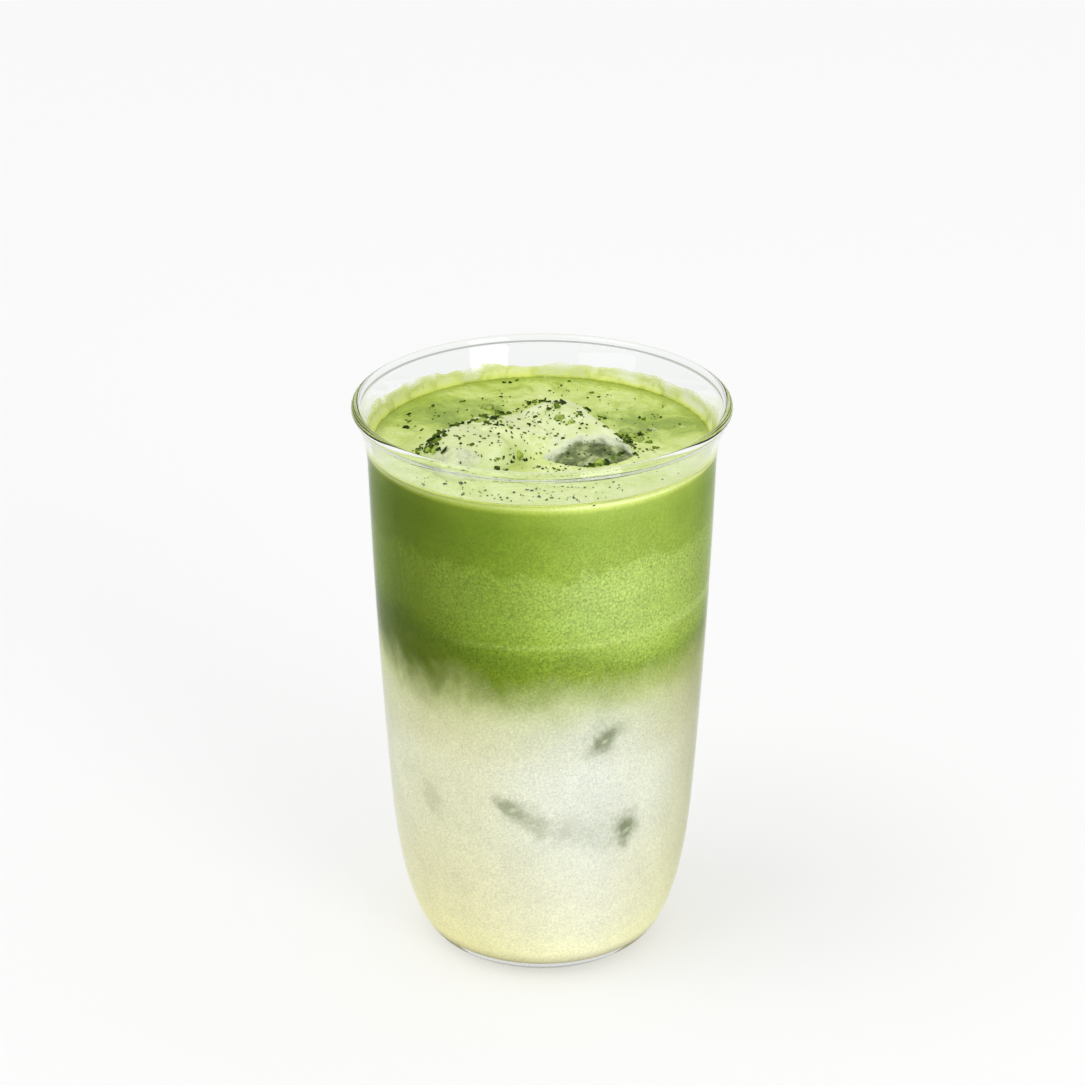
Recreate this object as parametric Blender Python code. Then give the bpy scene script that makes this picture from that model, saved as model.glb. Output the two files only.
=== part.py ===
"""Iced matcha latte in a flared glass tumbler, with two foam-coated ice blocks at its top.

The glass stands on its foot at z = 0 with its axis on Z. The milk fills it to a wavy line, the
matcha layer lies on the milk, and the ice blocks sit in pockets of the matcha layer.
"""
import math
import random

import bmesh
import bpy
from mathutils import Euler, Vector
from mathutils.bvhtree import BVHTree

MM = 0.001
SEGMENTS = 48

# Outer wall of the glass, heights and radii in millimetres
FOOT_RADIUS = 33.019
WALL_SLOPE = 0.0927
WALL_CURVE = 0.0002626
HEEL_HEIGHT = 42.49
HEEL_DROP = 12.770
HEEL_N = 2.669
HEEL_M = 2.869
FLARE_START = 122.5
FLARE_SIZE = 58.0
FLARE_END = 134.5
LIP_RADIUS = 42.95
LIP_HEIGHT = 135.9
LIP_TUBE = 1.05
WALL = 1.35
BASE_EXTRA = 0.75
BASE_FADE = 8.0

# Contents
GAP = 0.3
LEVEL = 126.9
MENISCUS = 0.7
BOUNDARY = 79.6
SURFACE_RELIEF = 0.22
SKIRT = 0.9

# Ice blocks: centre, size, turn in degrees, bluntness of the edges
RIGHT_BLOCK = ((6.4, -2.1, 117.8), (36.4, 24.0, 28.3), (12.9, 8.2, -54.2), 3.8)
LEFT_BLOCK = ((-16.9, -11.8, 120.3), (20.4, 18.6, 26.9), (6.9, -5.6, 33.0), 3.8)
BLOCK_CUTS = 7

# Tea flakes fused to the ice and to the matcha layer
FLAKE_SIZE = (1.6, 0.9)
FLAKE_HEIGHT = 0.34
FLAKE_SPACING = 2.2
FLAKE_CLEAR = 2.0
VIEW_SLOPE = 0.444


def clear_scene():
    """Remove every object of the opened scene."""
    for obj in list(bpy.data.objects):
        bpy.data.objects.remove(obj, do_unlink=True)


def material(name, colour, roughness, metallic=0.0, transmission=0.0):
    """Return a Principled material."""
    mat = bpy.data.materials.new(name)
    mat.use_nodes = True
    shader = mat.node_tree.nodes["Principled BSDF"]
    shader.inputs["Base Color"].default_value = (*colour, 1.0)
    shader.inputs["Roughness"].default_value = roughness
    shader.inputs["Metallic"].default_value = metallic
    shader.inputs["Transmission Weight"].default_value = transmission
    mat.diffuse_color = (*colour, 1.0)
    return mat


def outer_radius(height):
    """Outer radius of the wall at a height, in millimetres."""
    part = min(height / HEEL_HEIGHT, 1.0)
    drop = HEEL_DROP * (1.0 - (1.0 - (1.0 - part) ** HEEL_N) ** (1.0 / HEEL_M))
    flare = max(0.0, height - FLARE_START) ** 2 / FLARE_SIZE
    return FOOT_RADIUS + WALL_SLOPE * height - WALL_CURVE * height ** 2 - drop + flare


def wall_heights():
    """Heights at which the outer wall has a point."""
    heel = [HEEL_HEIGHT * (i / 10.0) ** 2.4 for i in range(11)]
    wall = [56.0, 71.0, 87.0, 103.0, 117.0, 124.0]
    flare = [127.0, 129.5, 132.0, FLARE_END]
    return heel + wall + flare


def wall_normal(height):
    """Outward normal of the outer wall at a height, as radius and height parts."""
    if height <= 0.0:
        return 0.0, -1.0
    step = min(0.02, height * 0.5)
    slope = (outer_radius(height + step) - outer_radius(height - step)) / (2.0 * step)
    length = math.hypot(1.0, slope)
    return 1.0 / length, -slope / length


def inset_profile(extra):
    """Points of the inner side of the wall, moved inwards by an extra distance."""
    points = []
    for height in wall_heights():
        across, up = wall_normal(height)
        depth = WALL + BASE_EXTRA * math.exp(-height / BASE_FADE) + extra
        points.append((outer_radius(height) - across * depth, height - up * depth))
    return points


def solid_of_rings(name, rings, mat):
    """Build a closed body from a first point, rings of points and a last point."""
    bm = bmesh.new()
    first = bm.verts.new(Vector(rings[0]) * MM)
    last = bm.verts.new(Vector(rings[-1]) * MM)
    loops = [[bm.verts.new(Vector(p) * MM) for p in ring] for ring in rings[1:-1]]
    count = len(loops[0])
    for k in range(count):
        nxt = (k + 1) % count
        bm.faces.new((first, loops[0][nxt], loops[0][k]))
        bm.faces.new((last, loops[-1][k], loops[-1][nxt]))
        for low, high in zip(loops[:-1], loops[1:]):
            if low[k].co.xy.length > high[k].co.xy.length:
                bm.faces.new((low[k], low[nxt], high[nxt]))
                bm.faces.new((low[k], high[nxt], high[k]))
            else:
                bm.faces.new((low[k], low[nxt], high[k]))
                bm.faces.new((low[nxt], high[nxt], high[k]))
    bmesh.ops.recalc_face_normals(bm, faces=bm.faces)
    return finish_mesh(name, bm, mat)


def finish_mesh(name, bm, mat, sharp=40.0):
    """Turn a bmesh into a smooth shaded object with its material."""
    mesh = bpy.data.meshes.new(name)
    bm.to_mesh(mesh)
    bm.free()
    mesh.materials.append(mat)
    mesh.shade_smooth()
    mesh.set_sharp_from_angle(angle=math.radians(sharp))
    obj = bpy.data.objects.new(name, mesh)
    bpy.context.scene.collection.objects.link(obj)
    return obj


def ring(radius, height):
    """Points of a level ring."""
    turn = 2.0 * math.pi / SEGMENTS
    return [(radius * math.cos(turn * k), radius * math.sin(turn * k), height) for k in range(SEGMENTS)]


def make_glass():
    """Tumbler with a rounded heel, a nearly straight wall, a flare and a rolled lip."""
    outline = [(9.0, 0.0)]
    outline += [(outer_radius(h), h) for h in wall_heights()]
    for degrees in range(-50, 206, 32):
        angle = math.radians(degrees)
        outline.append((LIP_RADIUS + LIP_TUBE * math.cos(angle), LIP_HEIGHT + LIP_TUBE * math.sin(angle)))
    inner = inset_profile(0.0)
    outline += list(reversed(inner))
    outline.append((9.0, inner[0][1]))
    rings = [(0.0, 0.0, 0.0)] + [ring(r, h) for r, h in outline] + [(0.0, 0.0, inner[0][1])]
    return solid_of_rings("glass", rings, material("glass", (0.93, 0.96, 0.94), 0.03, 0.0, 1.0))


FILL = inset_profile(GAP)


def fill_radius(height):
    """Radius to which the contents reach at a height, in millimetres."""
    for (r0, h0), (r1, h1) in zip(FILL[:-1], FILL[1:]):
        if h0 <= height <= h1:
            return r0 + (r1 - r0) * (height - h0) / (h1 - h0)
    return FILL[-1][0]


def boundary(angle, part):
    """Height of the milk's upper side, wavy at the wall and level at the axis.

    The angle is measured from the front, positive to the right.
    """
    wave = 0.9 * math.sin(2.0 * angle + 0.6) + 0.7 * math.sin(5.0 * angle + 2.1)
    wave += 0.45 * math.sin(9.0 * angle + 0.4)
    drip = -4.4 * math.exp(-((angle + 0.75) / 0.19) ** 2)
    drip += 1.6 * math.exp(-((angle - 0.12) / 0.30) ** 2)
    return BOUNDARY + (wave + drip) * part ** 2


def front_angle(k):
    """Angle of a segment from the front, positive to the right, from -pi to pi."""
    angle = 2.0 * math.pi * k / SEGMENTS + 0.5 * math.pi
    return (angle + math.pi) % (2.0 * math.pi) - math.pi


def boundary_ring(part, lift):
    """Ring of points on the line between milk and matcha, at a part of the full radius."""
    points = []
    for k in range(SEGMENTS):
        height = boundary(front_angle(k), part) + lift
        radius = fill_radius(height) * part
        turn = 2.0 * math.pi * k / SEGMENTS
        points.append((radius * math.cos(turn), radius * math.sin(turn), height))
    return points


def make_milk():
    """Milk layer from the floor of the glass to the wavy line."""
    floor = FILL[0][1]
    rings = [(0.0, 0.0, floor), ring(9.0, floor)]
    rings += [ring(r, h) for r, h in FILL if h < 72.5]
    rings += [boundary_ring(part, 0.0) for part in (1.0, 0.86, 0.55, 0.25)]
    rings.append((0.0, 0.0, BOUNDARY))
    return solid_of_rings("milk", rings, material("milk", (0.83, 0.80, 0.66), 0.35))


def block_point(direction, block, grow=0.0):
    """Point of a block's surface in millimetres, along a direction of the unit cube."""
    centre, size, turn, blunt = block
    u, v, w = direction
    length = (abs(u) ** blunt + abs(v) ** blunt + abs(w) ** blunt) ** (1.0 / blunt)
    melt = 1.0 + 0.016 * math.sin(3.3 * u + 1.2 + 2.0 * w) * math.sin(2.9 * v + 0.4)
    half = [0.5 * s * melt + grow for s in size]
    local = Vector((u * half[0], v * half[1], w * half[2])) / length
    rotation = Euler([math.radians(a) for a in turn], "XYZ").to_matrix()
    return rotation @ local + Vector(centre)


def block_mesh(block, grow=0.0):
    """Melted block of ice with rounded edges, as a bmesh in metres."""
    bm = bmesh.new()
    bmesh.ops.create_cube(bm, size=2.0)
    bmesh.ops.subdivide_edges(bm, edges=bm.edges[:], cuts=BLOCK_CUTS - 1, use_grid_fill=True)
    for vert in bm.verts:
        vert.co = block_point([math.tan(c * 0.66) / math.tan(0.66) for c in vert.co], block, grow) * MM
    return bm


def block_reach(x, y, block):
    """How far a point of the drink's surface lies outside a block, in millimetres."""
    centre, size, turn, blunt = block
    rotation = Euler([math.radians(a) for a in turn], "XYZ").to_matrix()
    local = rotation.transposed() @ (Vector((x, y, LEVEL)) - Vector(centre))
    total = sum(abs(2.0 * c / s) ** blunt for c, s in zip(local, size)) ** (1.0 / blunt)
    return (total - 1.0) * 0.5 * min(size)


def surface_height(x, y, part):
    """Height of the drink's upper side: raised at the wall and round the ice, slightly uneven."""
    rise = MENISCUS * max(0.0, (part - 0.9) / 0.1) ** 2
    near = max(0.0, min(block_reach(x, y, RIGHT_BLOCK), block_reach(x, y, LEFT_BLOCK)))
    rise += SKIRT * math.exp(-near / 2.6) * (1.0 - part ** 6)
    rise += SURFACE_RELIEF * math.sin(0.31 * x + 0.8) * math.cos(0.37 * y - 0.5) * (1.0 - part ** 4)
    return LEVEL + rise


def make_matcha():
    """Matcha layer on the milk, with an uneven upper side."""
    rings = [(0.0, 0.0, BOUNDARY + GAP)]
    rings += [boundary_ring(part, GAP) for part in (0.25, 0.55, 0.86, 1.0)]
    rings += [ring(fill_radius(h), h) for h in (92.0, 106.0, 117.0, 123.0)]
    rim = fill_radius(LEVEL + MENISCUS)
    for part in (1.0, 0.965, 0.91, 0.83, 0.73, 0.62, 0.5, 0.37, 0.22, 0.09):
        points = []
        for x, y, _ in ring(rim * part, 0.0):
            points.append((x, y, surface_height(x, y, part)))
        rings.append(points)
    rings.append((0.0, 0.0, surface_height(0.0, 0.0, 0.0)))
    return solid_of_rings("matcha", rings, material("matcha", (0.42, 0.50, 0.09), 0.45))


def cut_pocket(target, block):
    """Cut the pocket of an ice block out of the matcha layer."""
    cutter = finish_mesh("pocket", block_mesh(block, GAP), target.data.materials[0])
    cutter.hide_render = True
    cutter.display_type = "WIRE"
    apply_boolean(target, "DIFFERENCE", cutter)
    bpy.data.objects.remove(cutter, do_unlink=True)


def apply_boolean(target, operation, other, solver="EXACT"):
    """Apply one Boolean with an object or a collection to a body."""
    mod = target.modifiers.new("join", "BOOLEAN")
    mod.operation = operation
    mod.solver = solver
    if isinstance(other, bpy.types.Collection):
        mod.operand_type = "COLLECTION"
        mod.collection = other
    else:
        mod.object = other
    graph = bpy.context.evaluated_depsgraph_get()
    mesh = bpy.data.meshes.new_from_object(target.evaluated_get(graph))
    target.modifiers.clear()
    old = target.data
    target.data = mesh
    bpy.data.meshes.remove(old)
    mesh.name = target.name
    mesh.shade_smooth()
    mesh.set_sharp_from_angle(angle=math.radians(40.0))


def make_flake(place, normal, size, rng):
    """Small irregular six-sided chip of tea leaf, half sunk in what it lies on."""
    bm = bmesh.new()
    turn = rng.uniform(0.0, math.tau)
    long_side = rng.uniform(0.85, 1.25)
    across = normal.cross(Vector((math.cos(turn), math.sin(turn), 0.1))).normalized()
    along = normal.cross(across).normalized()
    radii = [rng.uniform(0.75, 1.1) for _ in range(6)]
    layers = []
    for depth, spread in ((-0.4 * MM, 1.0), (FLAKE_HEIGHT * MM * size / FLAKE_SIZE[0], 0.82)):
        verts = []
        for k, radius in enumerate(radii):
            angle = math.tau * k / 6.0
            reach = 0.5 * size * MM * radius * spread
            flat = across * (math.cos(angle) * reach * long_side) + along * (math.sin(angle) * reach / long_side)
            verts.append(bm.verts.new(place + flat + normal * depth))
        layers.append(verts)
    bm.faces.new(list(reversed(layers[0])))
    bm.faces.new(layers[1])
    for k in range(6):
        nxt = (k + 1) % 6
        bm.faces.new((layers[0][k], layers[0][nxt], layers[1][nxt], layers[1][k]))
    bmesh.ops.recalc_face_normals(bm, faces=bm.faces)
    return bm


def crest(tree, x):
    """Depth y at which the back edge of a block starts to fall away, in millimetres."""
    best = None
    for step in range(80):
        y = -30.0 + 0.7 * step
        hit = tree.ray_cast(Vector((x, y, 160.0)) * MM, Vector((0.0, 0.0, -1.0)))
        if hit[0] is None:
            continue
        seen = hit[0].z + VIEW_SLOPE * hit[0].y
        if best is None or seen > best[0]:
            best = (seen, y)
    return None if best is None else best[1]


def flake_places(tree, rng, lines, count, area):
    """Spots for flakes: along stretches of the crest, then loose ones over an area."""
    spots = []

    def add(x, y, size):
        """Keep a spot when it is clear of the others."""
        hit = tree.ray_cast(Vector((x, y, 160.0)) * MM, Vector((0.0, 0.0, -1.0)))
        if hit[0] is None or hit[1].z < 0.45:
            return
        if any((hit[0] - other[0]).length < FLAKE_SPACING * MM for other in spots):
            return
        spots.append((hit[0], hit[1], size))

    for start, end, number in lines:
        for i in range(number):
            x = start + (end - start) * (i + rng.uniform(0.2, 0.8)) / number
            y = crest(tree, x)
            if y is not None:
                add(x, y - 0.6 + rng.uniform(-1.0, 0.4), rng.uniform(1.2, FLAKE_SIZE[0]))
    tries = 0
    wanted = len(spots) + count
    while len(spots) < wanted and tries < 900:
        tries += 1
        x, y = area(rng)
        add(x, y, rng.uniform(*reversed(FLAKE_SIZE)))
    return spots


def fuse_flakes(target, spots, rng, clear_of):
    """Join flakes to a body, leaving out any that would reach another body.

    The MANIFOLD solver joins them, because EXACT leaves doubled slivers beside the pockets.
    """
    holder = bpy.data.collections.new("flakes")
    bpy.context.scene.collection.children.link(holder)
    for place, normal, size in spots:
        if any(tree.find_nearest(place)[3] < FLAKE_CLEAR * MM for tree in clear_of):
            continue
        bm = make_flake(place, normal, size, rng)
        mesh = bpy.data.meshes.new("flake")
        bm.to_mesh(mesh)
        bm.free()
        holder.objects.link(bpy.data.objects.new("flake", mesh))
    apply_boolean(target, "UNION", holder, "MANIFOLD")
    for obj in list(holder.objects):
        bpy.data.objects.remove(obj, do_unlink=True)
    bpy.data.collections.remove(holder)


def tree_of(obj):
    """Search tree of a body's mesh."""
    bm = bmesh.new()
    bm.from_mesh(obj.data)
    tree = BVHTree.FromBMesh(bm)
    bm.free()
    return tree


def surface_area(rng):
    """Random spot on the open surface of the drink."""
    radius = 36.5 * math.sqrt(rng.uniform(0.0, 1.0))
    angle = rng.uniform(0.0, math.tau)
    return radius * math.cos(angle), radius * math.sin(angle)


def main():
    """Build the whole part."""
    clear_scene()
    make_glass()
    make_milk()
    matcha = make_matcha()
    ice = material("ice", (0.72, 0.76, 0.42), 0.3)
    right = finish_mesh("ice_right", block_mesh(RIGHT_BLOCK), ice)
    left = finish_mesh("ice_left", block_mesh(LEFT_BLOCK), ice.copy())
    left.data.materials[0].name = "ice_left"
    cut_pocket(matcha, RIGHT_BLOCK)
    cut_pocket(matcha, LEFT_BLOCK)
    trees = {obj.name: tree_of(obj) for obj in (right, left, matcha)}

    rng = random.Random(11)
    spots = flake_places(trees["ice_right"], rng, ((-7.0, 6.5, 8), (8.0, 21.0, 8)), 16,
                         lambda r: (r.uniform(-8.0, 20.0), r.uniform(-15.0, 9.0)))
    fuse_flakes(right, spots, rng, (trees["ice_left"], trees["matcha"]))
    rng = random.Random(23)
    spots = flake_places(trees["ice_left"], rng, ((-27.0, -8.0, 12),), 9,
                         lambda r: (r.uniform(-27.0, -7.0), r.uniform(-20.0, 2.0)))
    fuse_flakes(left, spots, rng, (trees["ice_right"], trees["matcha"]))
    rng = random.Random(37)
    spots = flake_places(trees["matcha"], rng, (), 34, surface_area)
    fuse_flakes(matcha, spots, rng, (trees["ice_right"], trees["ice_left"]))


main()
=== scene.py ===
"""Looks of an iced matcha latte: a clear flared tumbler, milk, matcha, foam, ice and tea flakes."""

import logging
import math
import random
from dataclasses import dataclass, field
from enum import Enum

import bmesh
import bpy
import numpy as np
from bpy.types import Material, MeshVertex, Node, NodeSocket, NodeTree, Object
from mathutils import Euler, Matrix, Vector, noise
from mathutils.bvhtree import BVHTree

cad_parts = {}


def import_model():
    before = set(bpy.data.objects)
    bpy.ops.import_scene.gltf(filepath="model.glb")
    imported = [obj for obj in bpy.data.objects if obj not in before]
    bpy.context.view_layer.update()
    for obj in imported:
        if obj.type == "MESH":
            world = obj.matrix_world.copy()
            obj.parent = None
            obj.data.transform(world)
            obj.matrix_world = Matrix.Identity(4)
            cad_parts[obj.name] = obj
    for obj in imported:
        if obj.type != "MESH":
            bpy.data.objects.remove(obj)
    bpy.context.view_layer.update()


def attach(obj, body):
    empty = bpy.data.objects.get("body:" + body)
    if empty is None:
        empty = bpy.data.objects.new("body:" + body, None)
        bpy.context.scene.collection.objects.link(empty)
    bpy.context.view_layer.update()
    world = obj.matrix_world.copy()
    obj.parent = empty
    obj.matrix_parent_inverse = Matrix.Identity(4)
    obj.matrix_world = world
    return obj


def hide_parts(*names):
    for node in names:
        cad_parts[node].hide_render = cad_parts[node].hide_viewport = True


LOG = logging.getLogger("latte")
MM = 0.001
ROOT = "root"
Triple = tuple[float, float, float]
Row = tuple[float, float, float, float]
Outline = list[tuple[float, float]]


def tint(red: float, green: float, blue: float) -> Triple:
    """Turn a display colour, each part from 0 to 255, into linear light."""
    shares = [channel / 255.0 for channel in (red, green, blue)]
    return tuple(s / 12.92 if s <= 0.04045 else ((s + 0.055) / 1.055) ** 2.4 for s in shares)


def smoothstep(low: float, high: float, value: float) -> float:
    """Rise smoothly from 0 at low to 1 at high."""
    share = min(max((value - low) / (high - low), 0.0), 1.0)
    return share * share * (3.0 - 2.0 * share)


class Slot(Enum):
    """Material slots of the record."""

    GLASS = "glass"
    MILK = "milk"
    MATCHA = "matcha"
    ICE = "ice"


@dataclass(frozen=True)
class Mark:
    """Soft ellipsoid: centre and radii in millimetres, turn in radians, and strength."""

    centre: Triple
    radii: Triple
    turn: Triple = (0.0, 0.0, 0.0)
    strength: float = 1.0


class Sheet:
    """Short ways to add and join nodes in one node tree."""

    def __init__(self, tree: NodeTree) -> None:
        """Keep the tree that the nodes go into."""
        self.tree = tree

    def add(self, kind: str, inputs: dict | None = None, **settings) -> Node:
        """Add a node, set it up and feed its inputs.

        Args:
            kind: The node's type name.
            inputs: Values or sockets by input name or index.
            **settings: Attributes of the node.

        Returns:
            The new node.
        """
        node = self.tree.nodes.new(kind)
        for name, value in settings.items():
            setattr(node, name, value)
        for key, value in (inputs or {}).items():
            self.feed(node.inputs[key], value)
        return node

    def feed(self, socket: NodeSocket, value: object) -> None:
        """Link a socket to an input, or set the input's value.

        Args:
            socket: The input.
            value: A socket, a number, or a colour of three parts.
        """
        if isinstance(value, NodeSocket):
            self.tree.links.new(value, socket)
        elif socket.type == "RGBA" and len(value) == 3:
            socket.default_value = (*value, 1.0)
        else:
            socket.default_value = value

    def maths(self, operation: str, first: object, second: object = 0.0, clamp: bool = False) -> NodeSocket:
        """Return the result of a Math node."""
        node = self.add("ShaderNodeMath", {0: first, 1: second}, operation=operation, use_clamp=clamp)
        return node.outputs[0]

    def times(self, first: object, second: object) -> NodeSocket:
        """Return a product."""
        return self.maths("MULTIPLY", first, second)

    def plus(self, first: object, second: object) -> NodeSocket:
        """Return a sum."""
        return self.maths("ADD", first, second)

    def vector(self, operation: str, first: object, second: object) -> NodeSocket:
        """Return the vector result of a Vector Math node."""
        return self.add("ShaderNodeVectorMath", {0: first, 1: second}, operation=operation).outputs[0]

    def length(self, vector: NodeSocket) -> NodeSocket:
        """Return the length of a vector."""
        return self.add("ShaderNodeVectorMath", {0: vector}, operation="LENGTH").outputs["Value"]

    def span(self, value: NodeSocket, low: float, high: float, start: float = 0.0, end: float = 1.0) -> NodeSocket:
        """Map a value smoothly from one range to another."""
        inputs = {"Value": value, "From Min": low, "From Max": high, "To Min": start, "To Max": end}
        return self.add("ShaderNodeMapRange", inputs, interpolation_type="SMOOTHSTEP").outputs["Result"]

    def noise(self, place: NodeSocket, scale: float, detail: float = 2.0, rough: float = 0.5,
              distortion: float = 0.0) -> NodeSocket:
        """Return a noise value about a half."""
        inputs = {"Vector": place, "Scale": scale, "Detail": detail, "Roughness": rough, "Distortion": distortion}
        return self.add("ShaderNodeTexNoise", inputs).outputs[0]

    def swing(self, place: NodeSocket, *settings: float) -> NodeSocket:
        """Return a noise value about zero, with the same settings as noise takes."""
        return self.maths("SUBTRACT", self.noise(place, *settings), 0.5)

    def blend(self, share: object, first: object, second: object, mode: str = "MIX") -> NodeSocket:
        """Blend two colours.

        Args:
            share: How much of the second colour shows.
            first: The colour below.
            second: The colour above.
            mode: Blend type of the Mix node.

        Returns:
            The blended colour.
        """
        node = self.add("ShaderNodeMix", data_type="RGBA", blend_type=mode)
        for socket, value in ((node.inputs[0], share), (node.inputs[6], first), (node.inputs[7], second)):
            self.feed(socket, value)
        return node.outputs[2]

    def varied(self, colour: NodeSocket, change: NodeSocket, strength: float) -> NodeSocket:
        """Lighten and darken a colour by a value about zero."""
        return self.blend(1.0, colour, self.plus(self.times(change, strength), 1.0), "MULTIPLY")

    def ramp(self, value: NodeSocket, *rows: Row) -> NodeSocket:
        """Make a colour ramp.

        Args:
            value: What the ramp reads.
            *rows: Each stop's place, in the value's own unit, and its linear colour.

        Returns:
            The ramp's colour.
        """
        low, high = rows[0][0], rows[-1][0]
        share = self.add("ShaderNodeMapRange", {"Value": value, "From Min": low, "From Max": high}).outputs["Result"]
        node = self.add("ShaderNodeValToRGB", {"Fac": share})
        elements = node.color_ramp.elements
        elements[0].position, elements[0].color = 0.0, (*rows[0][1:], 1.0)
        elements[1].position, elements[1].color = 1.0, (*rows[-1][1:], 1.0)
        for position, *colour in rows[1:-1]:
            elements.new((position - low) / (high - low)).color = (*colour, 1.0)
        return node.outputs["Color"]

    def paint(self, value: NodeSocket, *rows: Row) -> NodeSocket:
        """Make a ramp whose stops have display colours."""
        return self.ramp(value, *((row[0], *tint(*row[1:])) for row in rows))

    def across(self, x: NodeSocket, colour: NodeSocket, rows: tuple[Row, ...]) -> NodeSocket:
        """Multiply a colour by factors of painted light and shade by place, halved on the way to fit a ramp's range
        of 0 to 1.
        """
        halves = self.ramp(x, *((row[0], *(0.5 * factor for factor in row[1:])) for row in rows))
        return self.vector("MULTIPLY", self.vector("MULTIPLY", colour, halves), (2.0, 2.0, 2.0))

    def place(self) -> NodeSocket:
        """Return the object coordinates in millimetres."""
        source = self.add("ShaderNodeTexCoord").outputs["Object"]
        return self.vector("MULTIPLY", source, (1000.0, 1000.0, 1000.0))

    def split(self, place: NodeSocket) -> list[NodeSocket]:
        """Return the three parts of a vector."""
        return list(self.add("ShaderNodeSeparateXYZ", {0: place}).outputs)

    def from_axis(self, place: NodeSocket) -> NodeSocket:
        """Return the distance from the glass's axis."""
        return self.length(self.vector("MULTIPLY", place, (1.0, 1.0, 0.0)))

    def blob(self, place: NodeSocket, mark: Mark) -> NodeSocket:
        """Return the distance from a mark's centre, 1 on its skin."""
        inputs = {"Vector": self.vector("SUBTRACT", place, mark.centre), "Rotation": mark.turn}
        level = self.add("ShaderNodeVectorRotate", inputs, rotation_type="EULER_XYZ", invert=True).outputs[0]
        return self.length(self.vector("DIVIDE", level, mark.radii))

    def spotted(self, place: NodeSocket, colour: NodeSocket, marks: tuple[Mark, ...], ragged: NodeSocket,
                edge: tuple[float, float], spot: Triple) -> NodeSocket:
        """Lay soft spots on a colour.

        Args:
            place: Coordinates in millimetres.
            colour: The colour below.
            marks: The spots.
            ragged: Value that moves their edges in and out.
            edge: Distances, 1 on the skin, at which a spot starts and is at its strongest.
            spot: The spots' colour.

        Returns:
            The spotted colour.
        """
        for mark in marks:
            near = self.plus(self.blob(place, mark), ragged)
            colour = self.blend(self.span(near, *edge, 0.0, mark.strength), colour, spot)
        return colour

    def bump(self, height: NodeSocket, strength: float, distance: float) -> NodeSocket:
        """Return a normal bent by a height field, the distance in millimetres."""
        inputs = {"Height": height, "Strength": strength, "Distance": distance * MM}
        return self.add("ShaderNodeBump", inputs).outputs["Normal"]


def new_group(name: str, outputs: dict[str, str]) -> tuple[Sheet, Node]:
    """Start a node group without inputs.

    Args:
        name: The group's name.
        outputs: Socket types by output name.

    Returns:
        The sheet of the group's tree and its output node.
    """
    tree = bpy.data.node_groups.new(name, "ShaderNodeTree")
    for label, kind in outputs.items():
        tree.interface.new_socket(name=label, in_out="OUTPUT", socket_type=kind)
    return Sheet(tree), tree.nodes.new("NodeGroupOutput")


def start_material(name: str) -> tuple[Material, Sheet, Node]:
    """Start a node material and return it with its sheet and its Principled shader."""
    mat = bpy.data.materials.new(name)
    mat.use_nodes = True
    return mat, Sheet(mat.node_tree), mat.node_tree.nodes["Principled BSDF"]


def finish_object(name: str, bm: bmesh.types.BMesh, sharp: float = 60.0) -> Object:
    """Make a smooth shaded object.

    Args:
        name: The object's name.
        bm: Its mesh, which is freed.
        sharp: Angle in degrees past which an edge stays sharp.

    Returns:
        The object, in the scene.
    """
    mesh = bpy.data.meshes.new(name)
    bm.to_mesh(mesh)
    bm.free()
    mesh.shade_smooth()
    mesh.set_sharp_from_angle(angle=math.radians(sharp))
    obj = bpy.data.objects.new(name, mesh)
    bpy.context.scene.collection.objects.link(obj)
    return obj


def settle(obj: Object, slot: Slot, mat: Material, *nodes: str) -> Object:
    """Give a finished piece its material, its body and the nodes that it stands for.

    Args:
        obj: The piece.
        slot: The record's material slot; not used.
        mat: The piece's material.
        *nodes: Names of the solids that the piece replaces.

    Returns:
        The same piece.
    """
    obj.data.materials.clear()
    obj.data.materials.append(mat)
    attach(obj, ROOT)
    if nodes:
        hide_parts(*nodes)
    LOG.info("%s: %d faces", obj.name, len(obj.data.polygons))
    return obj


def turned(name: str, outline: Outline, segments: int) -> Object:
    """Turn an outline about the Z axis into a closed body.

    Args:
        name: The object's name.
        outline: Radius and height of each point, in millimetres, from the axis round to the axis.
        segments: Steps of the full turn.

    Returns:
        The smooth shaded object.
    """
    bm = bmesh.new()
    verts = [bm.verts.new((radius * MM, 0.0, height * MM)) for radius, height in outline]
    for first, second in zip(verts[:-1], verts[1:]):
        bm.edges.new((first, second))
    bmesh.ops.spin(bm, geom=bm.verts[:] + bm.edges[:], cent=(0, 0, 0), axis=(0, 0, 1),
                   angle=math.tau, steps=segments, use_merge=True)
    bmesh.ops.remove_doubles(bm, verts=bm.verts[:], dist=1e-7)
    bmesh.ops.recalc_face_normals(bm, faces=bm.faces[:])
    return finish_object(name, bm)


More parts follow.
